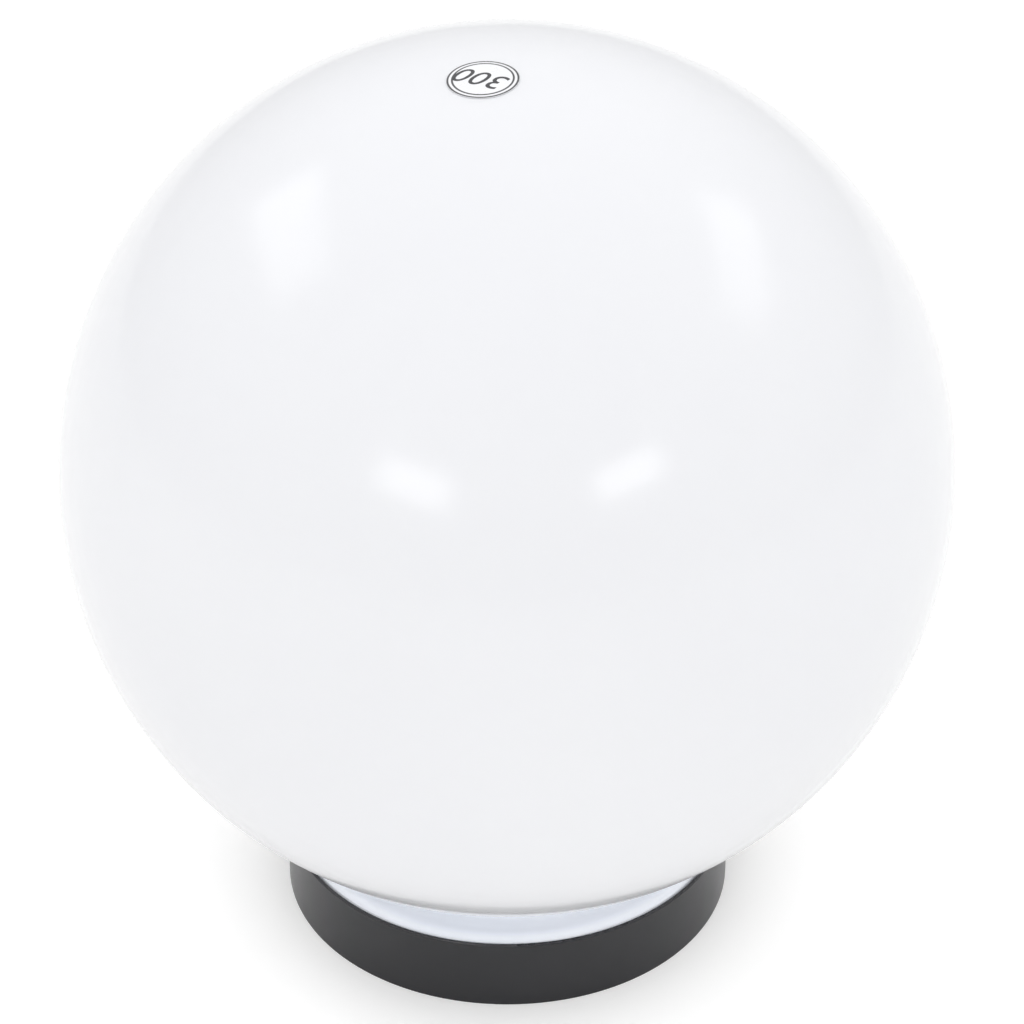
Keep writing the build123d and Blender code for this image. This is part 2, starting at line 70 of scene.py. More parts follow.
def addCamera():
    camera = bpy.data.cameras.new("camera")
    camera.lens = view["lens"]
    camera.sensor_width = view["sensor"]
    holder = bpy.data.objects.new("camera", camera)
    scene.collection.objects.link(holder)
    rise = math.radians(view["elevation"])
    holder.location = ballCentre + view["distance"] * Vector((0, -math.cos(rise), math.sin(rise)))
    tilt = math.radians(90 - view["elevation"] - view["extraTilt"])
    holder.rotation_euler = (tilt, 0, math.radians(view["turn"]))
    scene.camera = holder


addCamera()
print("camera placed")


# Node helpers

def addNode(tree, kind, **settings):
    node = tree.nodes.new(kind)
    for name, value in settings.items():
        setattr(node, name, value)
    return node


def math2(tree, operation, first, second=None, clamp=False):
    # One Math node; each input is a socket or a number.
    node = addNode(tree, "ShaderNodeMath", operation=operation, use_clamp=clamp)
    for index, value in enumerate((first, second)):
        if value is None:
            continue
        if isinstance(value, (int, float)):
            node.inputs[index].default_value = value
        else:
            tree.links.new(value, node.inputs[index])
    return node.outputs[0]


def remap(tree, value, low, high, outLow=0.0, outHigh=1.0, smooth=True):
    node = addNode(tree, "ShaderNodeMapRange", interpolation_type="SMOOTHSTEP" if smooth else "LINEAR")
    tree.links.new(value, node.inputs["Value"])
    node.inputs["From Min"].default_value = low
    node.inputs["From Max"].default_value = high
    node.inputs["To Min"].default_value = outLow
    node.inputs["To Max"].default_value = outHigh
    return node.outputs["Result"]


def mixColour(tree, factor, first, second):
    node = addNode(tree, "ShaderNodeMix", data_type="RGBA")
    sockets = [s for s in node.inputs if s.enabled]
    for socket, value in zip(sockets, (factor, first, second)):
        if isinstance(value, (int, float)):
            socket.default_value = value
        elif isinstance(value, tuple):
            socket.default_value = (*value, 1.0)
        else:
            tree.links.new(value, socket)
    return next(s for s in node.outputs if s.enabled)


def feed(tree, node, **sources):
    # Links or sets a node's inputs by name, with an underscore for a space, and gives the node.
    for name, value in sources.items():
        socket = next(s for s in node.inputs if s.name == name.replace("_", " ") and s.enabled)
        if isinstance(value, bpy.types.NodeSocket):
            tree.links.new(value, socket)
        else:
            socket.default_value = value
    return node


def objectPoint(tree):
    return addNode(tree, "ShaderNodeTexCoord").outputs["Object"]


def addSocket(group, name, kind, direction="INPUT", value=None):
    socket = group.interface.new_socket(name=name, in_out=direction, socket_type=kind)
    if value is not None:
        socket.default_value = value
    return socket


# Shared effects

effects = {
    "broadDetail": 3.0,
    "fineDetail": 2.0,
    "patches": (0.32, 0.68),  # noise at which a dark patch ends and a light one begins
    "dustDetail": 6.0,
    "dustFacing": (0.3, 1.0),  # upward part of the normal
    "dustSpeckle": (0.45, 0.75),
    "streakDetail": 2.0,
}


def buildGrain():
    # Broad and fine noise: shifts a colour and a roughness, and gives a height for a bump.
    group = bpy.data.node_groups.new("surfaceGrain", "ShaderNodeTree")
    addSocket(group, "Colour", "NodeSocketColor", value=(0.8, 0.8, 0.8, 1))
    addSocket(group, "Dark colour", "NodeSocketColor", value=(0.6, 0.6, 0.6, 1))
    addSocket(group, "Roughness", "NodeSocketFloat", value=0.4)
    addSocket(group, "Roughness spread", "NodeSocketFloat", value=0.05)
    addSocket(group, "Broad scale", "NodeSocketFloat", value=30.0)
    addSocket(group, "Fine scale", "NodeSocketFloat", value=900.0)
    addSocket(group, "Colour", "NodeSocketColor", "OUTPUT")
    addSocket(group, "Roughness", "NodeSocketFloat", "OUTPUT")
    addSocket(group, "Height", "NodeSocketFloat", "OUTPUT")
    start = addNode(group, "NodeGroupInput")
    end = addNode(group, "NodeGroupOutput")
    point = objectPoint(group)
    broad = addNode(group, "ShaderNodeTexNoise")
    fine = addNode(group, "ShaderNodeTexNoise")
    broad.inputs["Detail"].default_value = effects["broadDetail"]
    fine.inputs["Detail"].default_value = effects["fineDetail"]
    for noise, scale in ((broad, "Broad scale"), (fine, "Fine scale")):
        group.links.new(point, noise.inputs["Vector"])
        group.links.new(start.outputs[scale], noise.inputs["Scale"])
    patch = remap(group, broad.outputs["Fac"], *effects["patches"])
    group.links.new(mixColour(group, patch, start.outputs["Dark colour"], start.outputs["Colour"]),
                    end.inputs["Colour"])
    swing = math2(group, "SUBTRACT", fine.outputs["Fac"], 0.5)
    swing = math2(group, "ADD", swing, math2(group, "SUBTRACT", patch, 0.5))
    shift = math2(group, "MULTIPLY", swing, start.outputs["Roughness spread"])
    roughness = math2(group, "ADD", start.outputs["Roughness"], shift, clamp=True)
    group.links.new(roughness, end.inputs["Roughness"])
    group.links.new(fine.outputs["Fac"], end.inputs["Height"])
    return group


def buildDust():
    # Mask of dust that settles on faces that look up, broken up by noise.
    group = bpy.data.node_groups.new("settledDust", "ShaderNodeTree")
    addSocket(group, "Amount", "NodeSocketFloat", value=0.2)
    addSocket(group, "Scale", "NodeSocketFloat", value=120.0)
    addSocket(group, "Mask", "NodeSocketFloat", "OUTPUT")
    start = addNode(group, "NodeGroupInput")
    end = addNode(group, "NodeGroupOutput")
    noise = addNode(group, "ShaderNodeTexNoise")
    noise.inputs["Detail"].default_value = effects["dustDetail"]
    group.links.new(objectPoint(group), noise.inputs["Vector"])
    group.links.new(start.outputs["Scale"], noise.inputs["Scale"])
    normal = addNode(group, "ShaderNodeSeparateXYZ")
    group.links.new(addNode(group, "ShaderNodeNewGeometry").outputs["Normal"], normal.inputs[0])
    upward = remap(group, normal.outputs["Z"], *effects["dustFacing"])
    speckle = remap(group, noise.outputs["Fac"], *effects["dustSpeckle"])
    mask = math2(group, "MULTIPLY", upward, speckle)
    group.links.new(math2(group, "MULTIPLY", mask, start.outputs["Amount"]), end.inputs["Mask"])
    return group


def buildStreaks():
    # Fine lines along one direction, as brushing, drawing or turning leaves on metal.
    group = bpy.data.node_groups.new("metalStreaks", "ShaderNodeTree")
    addSocket(group, "Stretch", "NodeSocketVector", value=(40, 1500, 1500))
    addSocket(group, "Height", "NodeSocketFloat", "OUTPUT")
    start = addNode(group, "NodeGroupInput")
    end = addNode(group, "NodeGroupOutput")
    scaled = addNode(group, "ShaderNodeVectorMath", operation="MULTIPLY")
    group.links.new(objectPoint(group), scaled.inputs[0])
    group.links.new(start.outputs["Stretch"], scaled.inputs[1])
    noise = addNode(group, "ShaderNodeTexNoise")
    noise.inputs["Scale"].default_value = 1.0
    noise.inputs["Detail"].default_value = effects["streakDetail"]
    group.links.new(scaled.outputs[0], noise.inputs["Vector"])
    group.links.new(noise.outputs["Fac"], end.inputs["Height"])
    return group


grain = buildGrain()
dust = buildDust()
streaks = buildStreaks()
print("shader groups built")


# Materials

def placeGroup(tree, group, **values):
    return feed(tree, addNode(tree, "ShaderNodeGroup", node_tree=group), **values)


def startMaterial(name, plain=None):
    # An empty material with a Principled BSDF; plain holds its constant inputs.
    material = bpy.data.materials.new(name)
    material.use_nodes = True
    tree = material.node_tree
    tree.nodes.clear()
    shader = addNode(tree, "ShaderNodeBsdfPrincipled")
    output = addNode(tree, "ShaderNodeOutputMaterial")
    tree.links.new(shader.outputs[0], output.inputs["Surface"])
    for socket, value in (plain or {}).items():
        shader.inputs[socket].default_value = value
    return material, tree, shader


def addBump(tree, shader, height, distance):
    bump = feed(tree, addNode(tree, "ShaderNodeBump"), Strength=1.0, Distance=distance, Height=height)
    tree.links.new(bump.outputs["Normal"], shader.inputs["Normal"])


# In a finish, broad and fine are scales of noise, spread is the swing of the roughness, bump is a depth
# in metres and plain holds constant inputs of the shader.

def darker(colour, share):
    return tuple(c * share for c in colour)


def finishFrom(base, colour, **changes):
    # A finish in its own colour, with a darker one for its patches.
    return {**base, "colour": colour, "dark": darker(colour, base["darkShare"]), **changes}


def placeGrain(tree, finish):
    return placeGroup(tree, grain, Colour=(*finish["colour"], 1), Dark_colour=(*finish["dark"], 1),
                      Roughness=finish["roughness"], Roughness_spread=finish["spread"],
                      Broad_scale=finish["broad"], Fine_scale=finish["fine"])


def grainedMaterial(name, finish):
    # Colour, roughness and bump from the shared grain.
    material, tree, shader = startMaterial(name, finish.get("plain"))
    surface = placeGrain(tree, finish)
    tree.links.new(surface.outputs["Colour"], shader.inputs["Base Color"])
    tree.links.new(surface.outputs["Roughness"], shader.inputs["Roughness"])
    addBump(tree, shader, surface.outputs["Height"], finish["bump"])
    return material, tree, shader, surface


def addDust(tree, shader, colour, finish):
    settled = placeGroup(tree, dust, Amount=finish["dust"], Scale=finish["dustScale"])
    dusty = mixColour(tree, settled.outputs["Mask"], colour, finish["dustColour"])
    tree.links.new(dusty, shader.inputs["Base Color"])


opal = {
    "colour": (0.885, 0.893, 0.925),
    "dark": (0.872, 0.880, 0.914),
    "roughness": 0.13,
    "spread": 0.035,
    "broad": 9.0,
    "fine": 320.0,
    "bump": 0.000010,
    "plain": {
        "Subsurface Weight": 0.25,
        "Subsurface Scale": 0.012,
        "Subsurface Radius": (1.0, 1.0, 1.0),
        "IOR": 1.49,
        "Specular IOR Level": 0.3,
    },
}


def opalPlastic():
    # Opal acrylic: light goes a little way in, and the glossy skin has a faint orange peel.
    return grainedMaterial("opalPlastic", opal)[0]


collar = {
    "colour": (0.875, 0.90, 0.945),
    "dark": (0.855, 0.885, 0.935),
    "roughness": 0.12,
    "spread": 0.05,
    "broad": 25.0,
    "fine": 500.0,
    "bump": 0.000008,
    "plain": {"IOR": 1.49, "Coat Weight": 0.5, "Coat Roughness": 0.04},
    "paintedGlow": 0.115,
    "paintedGlowHeights": (0.0236, 0.0246),  # where the glow begins and where it is full
    "nearBall": (0.0605, 0.068, 0.19),  # two radii, and the further glow that fades between them
    "nearRoll": (0.070, 0.0765, 0.065),  # two radii, and the further glow that grows between them
}


def collarPlastic():
    # Painted light: the collar's top side is given an emission in its own colour, so that it stays pale in
    # the shaded groove, most of all beside the ball and along the rolled edge.
    material, tree, shader, surface = grainedMaterial("collarPlastic", collar)
    tree.links.new(surface.outputs["Colour"], shader.inputs["Emission Color"])
    place = addNode(tree, "ShaderNodeSeparateXYZ")
    tree.links.new(objectPoint(tree), place.inputs[0])
    squares = [math2(tree, "MULTIPLY", place.outputs[axis], place.outputs[axis]) for axis in ("X", "Y")]
    radius = math2(tree, "SQRT", math2(tree, "ADD", *squares))
    ballStart, ballEnd, ballPaintedGlow = collar["nearBall"]
    rollStart, rollEnd, rollPaintedGlow = collar["nearRoll"]
    # Painted light: emission strength, highest beside the ball and at the rolled edge, on the top side
    # only.
    paintedGlow = math2(tree, "ADD", remap(tree, radius, ballStart, ballEnd, ballPaintedGlow, 0.0), collar["paintedGlow"])
    paintedGlow = math2(tree, "ADD", remap(tree, radius, rollStart, rollEnd, 0.0, rollPaintedGlow), paintedGlow)
    topSide = remap(tree, place.outputs["Z"], *collar["paintedGlowHeights"])
    tree.links.new(math2(tree, "MULTIPLY", paintedGlow, topSide), shader.inputs["Emission Strength"])
    return material


basePlastic = {
    "colour": (0.0150, 0.0150, 0.0178),
    "dark": (0.0135, 0.0135, 0.0162),
    "roughness": 0.24,
    "spread": 0.04,
    "broad": 22.0,
    "fine": 1500.0,
    "bump": 0.000006,
    "plain": {"IOR": 1.5},
    "wornAndSheenColour": (0.045, 0.045, 0.050),
    "wornAndSheenDepth": 0.001,
    "dust": 0.03,
    "dustScale": 260.0,
    "dustColour": (0.32, 0.31, 0.29),
}


def blackPlastic():
    # Satin charcoal moulding: a fine spark-eroded texture, dust, and a paler band along the top of the rim,
    # partly wear from handling and partly a painted highlight.
    material, tree, shader, surface = grainedMaterial("blackPlastic", basePlastic)
    height = addNode(tree, "ShaderNodeSeparateXYZ")
    tree.links.new(objectPoint(tree), height.inputs[0])
    # Paler top edge of the rim: partly wear, partly a painted highlight.
    rubbedAndSheen = remap(tree, height.outputs["Z"], rimHeight - basePlastic["wornAndSheenDepth"], rimHeight)
    rubbedAndSheen = math2(tree, "MULTIPLY", rubbedAndSheen, surface.outputs["Height"])
    wornAndSheen = mixColour(tree, rubbedAndSheen, surface.outputs["Colour"], basePlastic["wornAndSheenColour"])
    addDust(tree, shader, wornAndSheen, basePlastic)
    return material


labelPrint = {
    "film": {
        "colour": (0.88, 0.885, 0.905),
        "dark": (0.85, 0.855, 0.88),
        "roughness": 0.28,
        "spread": 0.05,
        "broad": 90.0,
        "fine": 1200.0,
        "bump": 0.000006,
    },
    "ink": {
        "colour": (0.055, 0.055, 0.06),
        "dark": (0.04, 0.04, 0.045),
        "roughness": 0.45,
        "spread": 0.1,
        "broad": 900.0,
        "fine": 2500.0,
        "bump": 0.000004,
    },
    "rings": (0.0108, 0.0094),  # radii
    "lineWidth": 0.00062,
    "lineFade": (0.35, 0.65),  # in line widths from the line's middle
    "number": "300",
    "fontSize": 0.01145,
    "slant": 0.2,
    "curveSteps": 6,
    "turn": 152.0,
    "inkLift": 0.00021,
    "inkThickness": 0.00003,
}


def labelCentre():
    low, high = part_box("size_label")
    middle = (low + high) / 2 - ballCentre
    return ballCentre + middle.normalized() * ballRadius


def labelFilm():
    # Thin printed film: two inked rings about its centre.
    material, tree, shader, surface = grainedMaterial("labelFilm", labelPrint["film"])
    apart = addNode(tree, "ShaderNodeVectorMath", operation="DISTANCE")
    tree.links.new(objectPoint(tree), apart.inputs[0])
    apart.inputs[1].default_value = labelCentre()
    full, clear = (labelPrint["lineWidth"] * share for share in labelPrint["lineFade"])
    colour = surface.outputs["Colour"]
    for ring in labelPrint["rings"]:
        off = math2(tree, "ABSOLUTE", math2(tree, "SUBTRACT", apart.outputs["Value"], ring))
        line = remap(tree, off, full, clear, 1.0, 0.0)
        colour = mixColour(tree, line, colour, labelPrint["ink"]["colour"])
    tree.links.new(colour, shader.inputs["Base Color"])
    return material


rubber = {
    "darkShare": 0.75,
    "spread": 0.1,
    "broad": 80.0,
    "dust": 0.25,
    "dustScale": 300.0,
    "dustColour": (0.35, 0.34, 0.31),
    "kinds": {
        "blackRubber": {"colour": (0.028, 0.028, 0.028), "roughness": 0.72, "fine": 700.0, "bump": 0.00003},
        "foamRubber": {"colour": (0.05, 0.05, 0.053), "roughness": 0.9, "fine": 1600.0, "bump": 0.0001},
        "siliconeRubber": {"colour": (0.62, 0.6, 0.56), "roughness": 0.5, "fine": 500.0, "bump": 0.00001},
    },
}


def rubberMaterial(name):
    finish = finishFrom(rubber, **rubber["kinds"][name])
    material, tree, shader, surface = grainedMaterial(name, finish)
    addDust(tree, shader, surface.outputs["Colour"], finish)
    return material


metal = {
    "spread": 0.12,
    "broad": 160.0,
    "fine": 1400.0,
    "lineSpread": 0.25,
    "kinds": {  # stretch: streaks per metre along each axis
        "zincSteel": {"colour": (0.62, 0.63, 0.66), "dark": (0.5, 0.51, 0.53), "roughness": 0.34,
                      "stretch": (700, 40, 700), "bump": 0.00002},
        "brass": {"colour": (0.79, 0.60, 0.29), "dark": (0.62, 0.44, 0.18), "roughness": 0.3,
                  "stretch": (900, 900, 60), "bump": 0.00001},
        "nickel": {"colour": (0.72, 0.70, 0.66), "dark": (0.6, 0.58, 0.54), "roughness": 0.24,
                   "stretch": (60, 60, 1500), "bump": 0.00001},
        "tinPlate": {"colour": (0.7, 0.7, 0.69), "dark": (0.58, 0.58, 0.57), "roughness": 0.38,
                     "stretch": (800, 800, 90), "bump": 0.00001},
        "aluminium": {"colour": (0.80, 0.80, 0.81), "dark": (0.7, 0.7, 0.71), "roughness": 0.4,
                      "stretch": (60, 1200, 1200), "bump": 0.00001},
    },
}


def streakedMetal(name):
    # Metal with drawn or turned lines; the lines also vary its roughness.
    finish = {**metal, **metal["kinds"][name]}
    material, tree, shader = startMaterial(name, {"Metallic": 1.0})
    surface = placeGrain(tree, finish)
    lines = placeGroup(tree, streaks, Stretch=finish["stretch"])
    tree.links.new(surface.outputs["Colour"], shader.inputs["Base Color"])
    swing = math2(tree, "SUBTRACT", lines.outputs["Height"], 0.5)
    swing = math2(tree, "MULTIPLY", swing, finish["lineSpread"])
    roughness = math2(tree, "ADD", surface.outputs["Roughness"], swing, clamp=True)
    tree.links.new(roughness, shader.inputs["Roughness"])
    addBump(tree, shader, lines.outputs["Height"], finish["bump"])
    return material


ceramic = {
    "colour": (0.80, 0.79, 0.75),
    "dark": (0.74, 0.73, 0.68),
    "roughness": 0.3,
    "spread": 0.08,
    "broad": 70.0,
    "fine": 400.0,
    "bump": 0.00003,
    "plain": {"Coat Weight": 0.7, "Coat Roughness": 0.06},
    "speckScale": 260.0,
    "speckFade": (0.05, 0.11),
    "speckDepth": 0.7,
    "speckColour": (0.25, 0.2, 0.15),
}


def glazedCeramic():
    # White glaze with small dark specks from the firing.
    material, tree, shader, surface = grainedMaterial("glazedCeramic", ceramic)
    specks = addNode(tree, "ShaderNodeTexVoronoi")
    specks.inputs["Scale"].default_value = ceramic["speckScale"]
    tree.links.new(objectPoint(tree), specks.inputs["Vector"])
    speck = remap(tree, specks.outputs["Distance"], *ceramic["speckFade"], ceramic["speckDepth"], 0.0)
    speckled = mixColour(tree, speck, surface.outputs["Colour"], ceramic["speckColour"])
    tree.links.new(speckled, shader.inputs["Base Color"])
    return material


wire = {
    "darkShare": 0.8,
    "roughness": 0.33,
    "spread": 0.08,
    "broad": 300.0,
    "fine": 1800.0,
    "bump": 0.00001,
    "stripeSide": (0.62, 0.55, 0.56),
    "stripeFade": 0.05,
}


def wireCover(name, colour, stripe=None):
    # Extruded insulation; an earth wire has a second colour on one side.
    material, tree, shader, surface = grainedMaterial(name, finishFrom(wire, colour))
    if stripe:
        facing = addNode(tree, "ShaderNodeVectorMath", operation="DOT_PRODUCT")
        tree.links.new(addNode(tree, "ShaderNodeNewGeometry").outputs["Normal"], facing.inputs[0])
        facing.inputs[1].default_value = wire["stripeSide"]
        side = remap(tree, facing.outputs["Value"], -wire["stripeFade"], wire["stripeFade"])
        striped = mixColour(tree, side, surface.outputs["Colour"], stripe)
        tree.links.new(striped, shader.inputs["Base Color"])
    return material


board = {
    "colour": (0.03, 0.2, 0.07),
    "dark": (0.02, 0.15, 0.05),
    "roughness": 0.35,
    "spread": 0.06,
    "broad": 200.0,
    "fine": 1500.0,
    "bump": 0.000008,
    "trackScale": 160.0,
    "trackWidth": 0.03,
    "trackColour": (0.08, 0.32, 0.12),
}


def circuitBoard():
    # Solder mask with paler tracks under it.
    material, tree, shader, surface = grainedMaterial("circuitBoard", board)
    tracks = addNode(tree, "ShaderNodeTexBrick")
    tracks.inputs["Scale"].default_value = board["trackScale"]
    tracks.inputs["Mortar Size"].default_value = board["trackWidth"]
    tree.links.new(objectPoint(tree), tracks.inputs["Vector"])
    tracked = mixColour(tree, tracks.outputs["Fac"], surface.outputs["Colour"], board["trackColour"])
    tree.links.new(tracked, shader.inputs["Base Color"])
    return material


dome = {
    "colour": (0.86, 0.86, 0.85),
    "dark": (0.83, 0.83, 0.82),
    "roughness": 0.5,
    "spread": 0.06,
    "broad": 40.0,
    "fine": 900.0,
    "bump": 0.00001,
    "plain": {"Subsurface Weight": 0.4, "Subsurface Scale": 0.006, "Subsurface Radius": (1.0, 1.0, 1.0)},
}


def domePlastic():
    # Frosted diffuser: pale, matte and lit a little way through.
    return grainedMaterial("domePlastic", dome)[0]


mouldedPlastic = {
    "darkShare": 0.93,
    "roughness": 0.42,
    "spread": 0.08,
    "broad": 60.0,
    "fine": 1100.0,
    "bump": 0.000015,
}


def plainPlastic(name, colour, **changes):
    return grainedMaterial(name, finishFrom(mouldedPlastic, colour, **changes))[0]


finishes = {
    "opal_plastic": opalPlastic(),
    "collar_plastic": collarPlastic(),
    "label_film": labelFilm(),
    "black_plastic": blackPlastic(),
    "black_rubber": rubberMaterial("blackRubber"),
    "foam_rubber": rubberMaterial("foamRubber"),
    "clear_rubber": rubberMaterial("siliconeRubber"),
    "zinc_steel": streakedMetal("zincSteel"),
    "ceramic": glazedCeramic(),
    "brass": streakedMetal("brass"),
    "nickel": streakedMetal("nickel"),
    "tin": streakedMetal("tinPlate"),
    "white_plastic": plainPlastic("lampPlastic", (0.80, 0.80, 0.785)),
    "nylon": plainPlastic("nylon", (0.74, 0.73, 0.68), roughness=0.5),
    "brown_cover": wireCover("brownCover", (0.12, 0.04, 0.015)),
    "blue_cover": wireCover("blueCover", (0.02, 0.08, 0.40)),
    "green_yellow_cover": wireCover("greenYellowCover", (0.05, 0.30, 0.04), stripe=(0.80, 0.62, 0.04)),
    "aluminium": streakedMetal("aluminium"),
    "circuit_board": circuitBoard(),
    "component_black": plainPlastic("componentBlack", (0.03, 0.03, 0.035), roughness=0.38),
    "led_yellow": plainPlastic("ledPhosphor", (0.82, 0.62, 0.10), roughness=0.5),
    "glass_black": plainPlastic("blackGlass", (0.012, 0.012, 0.018), roughness=0.12),
    "dome": domePlastic(),
}

slotOfNode = {p["node"]: p["material_slot"] for p in frame["record"]["subparts"]}
for name, piece in nodes.items():
    finish = finishes["dome"] if name == "bulb_dome" else finishes[slotOfNode[name]]
    piece.material_slots[0].material = finish
print("materials set")


# Ball and collar, turned on a lathe finer than the frame's own mesh

globeShape = {
    "segments": 288,
    "wall": 0.0025,
    "neckRadius": 0.059,
    "creaseRadius": 0.0015,
    "mouthRadius": 0.056,
    "ballSteps": 130,
    "innerSteps": 60,
    "arcSteps": 8,
    "mergeDistance": 0.000001,
    "sharpAngle": 35.0,
}


def reach():
    # Largest radius at which the ball stays inside the frame's box of it.
    low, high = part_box("globe_shell")
    return min(-low.x, high.x, -low.y, high.y, ballRadius)


def creasePoint(angle):
    # Point on the small arc, tangent to the ball, in which its underside turns back to the collar.
    radius = reach()
    drop = math.sqrt(radius**2 - globeShape["neckRadius"] ** 2)
    share = globeShape["creaseRadius"] / radius
    middle = (globeShape["neckRadius"] * (1 + share), ballCentre.z - drop * (1 + share))
    turn = math.radians(angle)
    return (middle[0] + globeShape["creaseRadius"] * math.cos(turn),
            middle[1] + globeShape["creaseRadius"] * math.sin(turn))


def arc(start, end, steps, place):
    return [place(start + (end - start) * i / steps) for i in range(steps + 1)]


def ballArc(radius, start, end, steps):
    # Points on the ball between two angles from its top, in degrees.
    def place(angle):
        turn = math.radians(angle)
        return radius * math.sin(turn), ballCentre.z + radius * math.cos(turn)
    return arc(start, end, steps, place)


def throughPoints(points, first, last, steps):
    # Smooth curve through points, with the given directions at its ends.
    count = len(points)
    chords = [math.dist(points[i], points[i + 1]) for i in range(count - 1)]
    slopes = [first]
    for i in range(1, count - 1):
        span = chords[i - 1] + chords[i]
        slopes.append(tuple((points[i + 1][k] - points[i - 1][k]) / span for k in range(2)))
    slopes.append(last)
    curve = [points[0]]
    for i, chord in enumerate(chords):
        for j in range(1, steps + 1):
            t = j / steps
            weights = (2 * t**3 - 3 * t**2 + 1, (t**3 - 2 * t**2 + t) * chord,
                       3 * t**2 - 2 * t**3, (t**3 - t**2) * chord)
            parts = (points[i], slopes[i], points[i + 1], slopes[i + 1])
            curve.append(tuple(sum(w * part[k] for w, part in zip(weights, parts)) for k in range(2)))
    return curve


def geometryTree(name, inputs):
    # An empty geometry tree: a geometry input and output, and further named inputs.
    tree = bpy.data.node_groups.new(name, "GeometryNodeTree")
    tree.is_modifier = True
    addSocket(tree, "Geometry", "NodeSocketGeometry")
    for label, kind in inputs.items():
        addSocket(tree, label, "NodeSocket" + kind)
    addSocket(tree, "Geometry", "NodeSocketGeometry", "OUTPUT")
    return tree, addNode(tree, "NodeGroupInput"), addNode(tree, "NodeGroupOutput")


def endTree(tree, end, geometry, material):
    realized = feed(tree, addNode(tree, "GeometryNodeRealizeInstances"), Geometry=geometry)
    coated = addNode(tree, "GeometryNodeSetMaterial")
    feed(tree, coated, Geometry=realized.outputs[0], Material=material)
    tree.links.new(coated.outputs[0], end.inputs["Geometry"])


def turnAbout(tree, point, angle):
    # Turns a point about Z by an angle in radians.
    node = addNode(tree, "ShaderNodeVectorRotate", rotation_type="Z_AXIS")
    return feed(tree, node, Vector=point, Angle=angle).outputs[0]


def buildTurning():
    # Turns a profile about Z: each column of a grid takes the profile's points, turned a step further.
    tree, start, end = geometryTree(
        "turnedPiece", {"Segments": "Int", "Merge distance": "Float", "Material": "Material"},
    )
    profile = start.outputs["Geometry"]
    segments = start.outputs["Segments"]
    size = feed(tree, addNode(tree, "GeometryNodeAttributeDomainSize"), Geometry=profile)
    count = size.outputs["Point Count"]
    grid = addNode(tree, "GeometryNodeMeshGrid")
    feed(tree, grid, Vertices_X=math2(tree, "ADD", segments, 1), Vertices_Y=count)
    index = addNode(tree, "GeometryNodeInputIndex").outputs[0]
    column = math2(tree, "FLOOR", math2(tree, "DIVIDE", index, count))
    sample = addNode(tree, "GeometryNodeSampleIndex", data_type="FLOAT_VECTOR")
    feed(tree, sample, Geometry=profile, Value=addNode(tree, "GeometryNodeInputPosition").outputs[0],
         Index=math2(tree, "MODULO", index, count))
    point = next(s for s in sample.outputs if s.enabled)
    angle = math2(tree, "MULTIPLY", math2(tree, "DIVIDE", column, segments), 2 * math.pi)
    turned = addNode(tree, "GeometryNodeSetPosition")
    feed(tree, turned, Geometry=grid.outputs["Mesh"], Position=turnAbout(tree, point, angle))
    merged = addNode(tree, "GeometryNodeMergeByDistance")
    feed(tree, merged, Geometry=turned.outputs[0], Distance=start.outputs["Merge distance"])
    endTree(tree, end, merged.outputs[0], start.outputs["Material"])
    return tree


def buildLugs():
    # Adds lugs evenly about Z, each a short piece of a ring bent from a block.
    tree, start, end = geometryTree("lugRing", {
        "Count": "Int", "First angle": "Float", "Span": "Float", "Rows": "Int", "Inner radius": "Float",
        "Outer radius": "Float", "Low": "Float", "High": "Float", "Material": "Material",
    })
    block = addNode(tree, "GeometryNodeMeshCube")
    feed(tree, block, Size=(1, 1, 1), Vertices_Y=start.outputs["Rows"])
    place = addNode(tree, "ShaderNodeSeparateXYZ")
    tree.links.new(addNode(tree, "GeometryNodeInputPosition").outputs[0], place.inputs[0])

    def between(low, high, axis):
        share = math2(tree, "ADD", place.outputs[axis], 0.5)
        span = math2(tree, "SUBTRACT", start.outputs[high], start.outputs[low])
        return math2(tree, "ADD", start.outputs[low], math2(tree, "MULTIPLY", share, span))

    corner = addNode(tree, "ShaderNodeCombineXYZ")
    feed(tree, corner, X=between("Inner radius", "Outer radius", "X"), Z=between("Low", "High", "Z"))
    sweep = math2(tree, "MULTIPLY", place.outputs["Y"], start.outputs["Span"])
    lug = addNode(tree, "GeometryNodeSetPosition")
    feed(tree, lug, Geometry=block.outputs["Mesh"], Position=turnAbout(tree, corner.outputs[0], sweep))
    step = math2(tree, "DIVIDE", 2 * math.pi, start.outputs["Count"])
    turn = math2(tree, "MULTIPLY", addNode(tree, "GeometryNodeInputIndex").outputs[0], step)
    heading = addNode(tree, "ShaderNodeCombineXYZ")
    feed(tree, heading, Z=math2(tree, "ADD", turn, start.outputs["First angle"]))
    axis = feed(tree, addNode(tree, "GeometryNodePoints"), Count=start.outputs["Count"])
    ring = addNode(tree, "GeometryNodeInstanceOnPoints")
    feed(tree, ring, Points=axis.outputs[0], Instance=lug.outputs[0], Rotation=heading.outputs[0])
    joined = addNode(tree, "GeometryNodeJoinGeometry")
    tree.links.new(ring.outputs[0], joined.inputs[0])
    tree.links.new(start.outputs["Geometry"], joined.inputs[0])
    endTree(tree, end, joined.outputs[0], start.outputs["Material"])
    return tree


turning = buildTurning()
lugRing = buildLugs()


def profileMesh(points):
    mesh = bpy.data.meshes.new("profile")
    mesh.from_pydata([(radius, 0, height) for radius, height in points],
                     [(i, i + 1) for i in range(len(points) - 1)], [])
    return mesh


